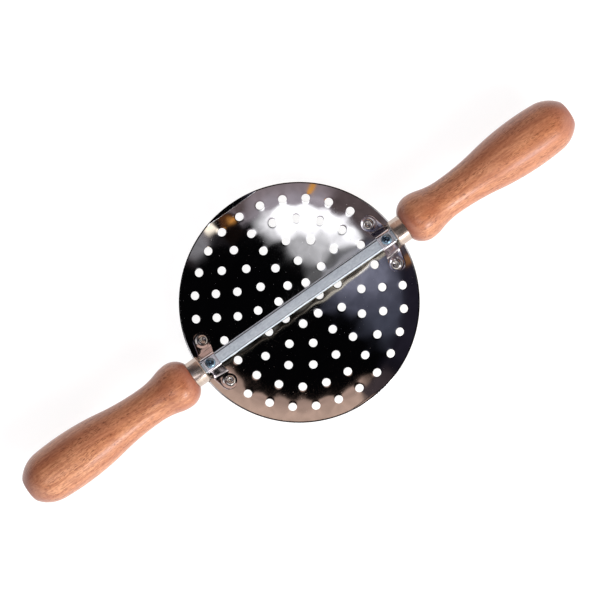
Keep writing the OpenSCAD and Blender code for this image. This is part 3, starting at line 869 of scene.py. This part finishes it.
def build_bar():
    """A drawn square bar with soft, slightly uneven bevels, and a round tang at each end."""
    spans = 90
    stations = [-SHOULDER_X + 2 * SHOULDER_X * k / spans for k in range(spans + 1)]
    points = [(x, y, z + BAR_Z) for x in stations for y, z in bar_section(x)]
    around = len(points) // len(stations)
    faces = []
    for i in range(spans):
        for k in range(around):
            n = (k + 1) % around
            faces.append((i * around + k, i * around + n, (i + 1) * around + n, (i + 1) * around + k))
    faces.append(tuple(range(around)))
    faces.append(tuple(range(spans * around, len(points))))
    tang = [(SHOULDER_X - TANG_ROOT, 0), (SHOULDER_X - TANG_ROOT, TANG_R),
            (TANG_END - TANG_CHAMFER, TANG_R), (TANG_END, TANG_R - TANG_CHAMFER), (TANG_END, 0)]
    shape, sides = turned(tang, 48)
    for side in (1, -1):
        first = len(points)
        points += [(side * x, y, z + BAR_Z) for x, y, z in shape]
        faces += [tuple(first + v for v in f) for f in sides]
    bar = mesh_object("bar", points, faces)
    outward(bar)
    dress(bar, "zinc_plated", "crossbar")


build_bar()


# ---- Straps ----

def eased_copy(node, name, width):
    """A copy of a solid with its sharp edges rounded over, to a width in millimetres."""
    made = bmesh.new()
    made.from_mesh(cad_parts[node].data)
    bmesh.ops.remove_doubles(made, verts=made.verts, dist=2e-6)
    bmesh.ops.dissolve_limit(made, angle_limit=radians(0.6), verts=made.verts, edges=made.edges)
    mesh = bpy.data.meshes.new(name)
    made.to_mesh(mesh)
    made.free()
    piece = new_object(name, mesh)
    bevel = piece.modifiers.new("eased_edges", "BEVEL")
    bevel.width = width * MM
    bevel.segments = 3
    bevel.limit_method = "ANGLE"
    bevel.angle_limit = radians(40)
    bevel.use_clamp_overlap = True
    result = made_plain(piece, 50)
    # The part over the bar is dead flat; the rest is softly pillowed up to its edges
    flat_top = [face for face in result.polygons
                if face.normal.z > 0.999 and face.center.z > BAR_TOP * MM]
    level = {key for face in flat_top for key in face.edge_keys}
    for edge in result.edges:
        if edge.key in level:
            edge.use_edge_sharp = True
    return piece


for side in ("left", "right"):
    strap = eased_copy("strap_" + side, "strap_strip_" + side, STRAP_EASE)
    strap.data.materials.clear()
    dress(strap, "stainless_strap", "strap_" + side)


# ---- Screws and rivets ----

def screw_mesh():
    """A round-headed screw standing on +Z, with a crossed recess pressed into its crown."""
    rings, steps = 44, 96
    points = [(0, 0, SCREW_HEAD_H - RECESS_MIDDLE)]
    for i in range(1, rings + 1):
        r = SCREW_HEAD_R * i / rings
        z = SCREW_HEAD_H - SCREW_CROWN_R + sqrt(SCREW_CROWN_R**2 - r * r)
        for x, y in circle(r, steps):
            arm, width = max(abs(x), abs(y)), min(abs(x), abs(y))
            slope = (RECESS_ARM - arm) / RECESS_ARM_WALL
            wall = (RECESS_HALF - width) / RECESS_HALF_WALL
            cut = max(0.0, min(1.0, slope)) * max(0.0, min(1.0, wall))
            points.append((x, y, z - RECESS_DEPTH * cut * (1 - 0.25 * arm)))
    edge_z = z
    for r, z in ((SCREW_HEAD_R, SCREW_EASE), (SCREW_HEAD_R - SCREW_EASE, 0.0), (SCREW_SHANK_R, 0.0),
                 (SCREW_SHANK_R, -SCREW_SHANK)):
        points += [(x, y, min(z, edge_z)) for x, y in circle(r, steps)]
    faces = [(0, 1 + k, 1 + (k + 1) % steps) for k in range(steps)]
    for a in range(1, len(points) - steps, steps):
        for k in range(steps):
            n = (k + 1) % steps
            faces.append((a + k, a + steps + k, a + steps + n, a + n))
    faces.append(tuple(range(len(points) - steps, len(points)))[::-1])
    piece = mesh_object("screw_source", points, faces)
    outward(piece)
    return piece


def rivet_mesh():
    """A rivet standing on +Z: 0 is the dish's hollow side, the smooth head is below it."""
    roll = CLINCH_R / 3
    head_top = -SHEET + 0.04
    crown_r = (RIVET_HEAD_R**2 + RIVET_CROWN**2) / (2 * RIVET_CROWN)
    crown_z = -SHEET - RIVET_EDGE - RIVET_CROWN
    turns = [math.asin(RIVET_HEAD_R / crown_r) * k / 12 for k in range(13)]
    profile = [(crown_z + crown_r * (1 - cos(a)), crown_r * sin(a)) for a in turns]
    profile += [(-SHEET - 0.3, RIVET_HEAD_R), (head_top - RIVET_EASE, RIVET_HEAD_R),
                (head_top, RIVET_HEAD_R - RIVET_EASE), (head_top, RIVET_R)]
    # The ring, rolled over on the strap's foot, and the hollow inside it
    profile += [(STRAP_T - 0.02, RIVET_R), (STRAP_T, CLINCH_R - 0.25)]
    profile += [(z, r) for r, z in arc(2 * roll, STRAP_T + 0.12, roll, 0, 155, 16)]
    profile += [(STRAP_T + 0.28, 0.75), (STRAP_T + 0.22, 0.35), (STRAP_T + 0.2, 0.0)]
    shape, faces = turned(profile, 56)
    piece = mesh_object("rivet_source", [(y, z, x) for x, y, z in shape], faces)
    outward(piece)
    return piece


def fastener_tree(name, material):
    """Stands a copy of a fastener on every point, along that point's own axis."""
    tree = bpy.data.node_groups.new(name, "GeometryNodeTree")
    tree.interface.new_socket("Geometry", in_out="OUTPUT", socket_type="NodeSocketGeometry")
    tree.interface.new_socket("Places", in_out="INPUT", socket_type="NodeSocketGeometry")
    keys = {}
    for label, kind in (("Fastener", "NodeSocketObject"), ("Size", "NodeSocketFloat"),
                        ("Turn step", "NodeSocketFloat")):
        keys[label] = tree.interface.new_socket(label, in_out="INPUT", socket_type=kind).identifier
    entry = tree.nodes.new("NodeGroupInput")
    source = add(tree, "GeometryNodeObjectInfo", {"Object": entry.outputs["Fastener"]}, "Geometry")
    axis = add(tree, "GeometryNodeInputNamedAttribute", {"Name": "axis"}, data_type="FLOAT_VECTOR")
    stand = add(tree, "FunctionNodeAlignRotationToVector", {"Vector": axis}, axis="Z")
    index = add(tree, "GeometryNodeInputIndex")
    step = add(tree, "ShaderNodeMath", {0: index, 1: entry.outputs["Turn step"]}, operation="MULTIPLY")
    spin = add(tree, "FunctionNodeAxisAngleToRotation", {"Axis": (0, 0, 1), "Angle": step})
    turned_by = add(tree, "FunctionNodeRotateRotation", {"Rotation": stand, "Rotate By": spin},
                    rotation_space="LOCAL")
    copies = add(tree, "GeometryNodeInstanceOnPoints",
                 {"Points": entry.outputs["Places"], "Instance": source, "Rotation": turned_by,
                  "Scale": entry.outputs["Size"]})
    real = add(tree, "GeometryNodeRealizeInstances", {"Geometry": copies})
    finish = add(tree, "GeometryNodeSetMaterial", {"Geometry": real, "Material": material})
    tree.nodes.new("NodeGroupOutput")
    tree.links.new(finish, tree.nodes["Group Output"].inputs[0])
    return tree, keys


def set_fasteners(name, source, places, axes, material, turn_step):
    """One mesh of all the copies of a fastener, in place."""
    mesh = bpy.data.meshes.new(name + "_places")
    mesh.from_pydata([tuple(c * MM for c in p) for p in places], [], [])
    data = mesh.attributes.new("axis", "FLOAT_VECTOR", "POINT")
    data.data.foreach_set("vector", [c for axis in axes for c in axis])
    piece = new_object(name, mesh)
    tree, keys = fastener_tree("set_" + name, material)
    modifier = piece.modifiers.new("set", "NODES")
    modifier.node_group = tree
    modifier[keys["Fastener"]] = source
    modifier[keys["Size"]] = 1.0
    modifier[keys["Turn step"]] = turn_step
    made_plain(piece, 40)
    bpy.data.objects.remove(source)
    return piece


screws = set_fasteners("strap_screws", screw_mesh(),
                       [(SCREW_X, 0, BAR_TOP + STRAP_T), (-SCREW_X, 0, BAR_TOP + STRAP_T)],
                       [(0, 0, 1), (0, 0, 1)], FINISH["zinc_screw"], radians(38))
dress(screws, "zinc_screw", "strap_screw_left", "strap_screw_right")

rivet_axes = [Vector((-sin(OUTER_TILT) * cos(turn), -sin(OUTER_TILT) * sin(turn), cos(OUTER_TILT)))
              for turn in RIVET_TURNS]
rivet_places = [Vector((0, 0, BALL_Z)) - axis * BALL_R for axis in rivet_axes]
rivets = set_fasteners("strap_rivets", rivet_mesh(), rivet_places, rivet_axes,
                       FINISH["rivet_steel"], radians(50))
dress(rivets, "rivet_steel", "rivet_left_back", "rivet_left_front", "rivet_right_back",
      "rivet_right_front")


# ---- Ferrules and handles ----

def on_bar(name, profile, steps, side):
    """A turned piece on the bar's axis; its profile runs outwards from the middle."""
    shape, faces = turned(profile, steps)
    piece = mesh_object(name, [(side * x, y, z + BAR_Z) for x, y, z in shape], faces)
    outward(piece)
    return piece


def ferrule_profile():
    """A drawn cap: its closed end, with the tang's hole, faces the dish."""
    inner_r, inner_x = FERRULE_R - FERRULE_WALL, SHOULDER_X + FERRULE_WALL
    ring = [(SHOULDER_X, FERRULE_HOLE_R)]
    ring += arc(SHOULDER_X + FERRULE_EASE, FERRULE_R - FERRULE_EASE, FERRULE_EASE, 180, 90, 8)
    ring += arc(WOOD_X - MOUTH_EASE, FERRULE_R - MOUTH_EASE, MOUTH_EASE, 90, 0, 3)
    ring += [(WOOD_X, inner_r), (inner_x, inner_r), (inner_x, FERRULE_HOLE_R)]
    return ring + ring[:1]


def run(radii, climb):
    """How far two arcs that meet smoothly run along while they climb, from their radii's sum."""
    return sqrt(2 * radii * climb - climb * climb)


def bearing(a, b):
    """Direction from one point to another, in degrees."""
    return math.degrees(atan2(b[1] - a[1], b[0] - a[0]))


def handle_profiles():
    """The grip's outline as arcs, from the nose to the flat butt, and the outline of its bore."""
    nose_arc = (BEAD_S**2 + (BEAD_R - NOSE_R)**2) / (2 * (BEAD_R - NOSE_R))
    neck_a = BEAD_S + run(BEAD_BACK + NECK_FRONT, BEAD_R - NECK_R)
    neck_b = SWELL_S - run(NECK_BACK + SWELL_ARC, SWELL_R - NECK_R)
    # Each arc's centre
    nose = (BEAD_S, BEAD_R - nose_arc)
    bead = (BEAD_S, BEAD_R - BEAD_BACK)
    front = (neck_a, NECK_R + NECK_FRONT)
    back = (neck_b, NECK_R + NECK_BACK)
    swell = (SWELL_S, SWELL_R - SWELL_ARC)
    end = (SWELL_S + (SWELL_ARC - END_ARC) * sin(END_LEAN),
           SWELL_R - SWELL_ARC + (SWELL_ARC - END_ARC) * cos(END_LEAN))
    butt_s = HANDLE_LEN - BUTT_CORNER
    butt = (butt_s, end[1] + sqrt((END_ARC - BUTT_CORNER)**2 - (butt_s - end[0])**2))
    end_from = 90 - math.degrees(END_LEAN)
    lines = arc(*nose, nose_arc, bearing(nose, (0, NOSE_R)), 90, 26)
    lines += arc(*bead, BEAD_BACK, 90, bearing(bead, front), 18)[1:]
    lines += arc(*front, NECK_FRONT, bearing(front, bead), -90, 24)[1:]
    lines += arc(*back, NECK_BACK, -90, bearing(back, swell), 26)
    lines += arc(*swell, SWELL_ARC, bearing(swell, back), end_from, 30)[1:]
    lines += arc(*end, END_ARC, end_from, bearing(end, butt), 34)[1:]
    lines += arc(*butt, BUTT_CORNER, bearing(end, butt), 0, 8)[1:]
    skin = [(0, BORE_R), (0, NOSE_R - NOSE_EASE)] + lines[2:] + [(HANDLE_LEN, 0)]
    bore = [(BORE_END, 0), (BORE_END, BORE_R), (0, BORE_R)]
    return [[(WOOD_X + s, r) for s, r in profile] for profile in (skin, bore)]


for name, side in (("left", -1), ("right", 1)):
    ferrule = on_bar("ferrule_cap_" + name, ferrule_profile(), 128, side)
    dress(ferrule, "nickel_ferrule", "ferrule_" + name)
    skin, bore = handle_profiles()
    shape, faces = turned(skin, 160)
    hollow, hollow_faces = turned(bore, 160)
    first = len(shape)
    points = [(side * x, y, z + BAR_Z) for x, y, z in shape + hollow]
    faces += [tuple(first + v for v in f) for f in hollow_faces]
    handle = mesh_object("grip_" + name, points, faces)
    outward(handle)
    dress(handle, "beech", "handle_" + name)
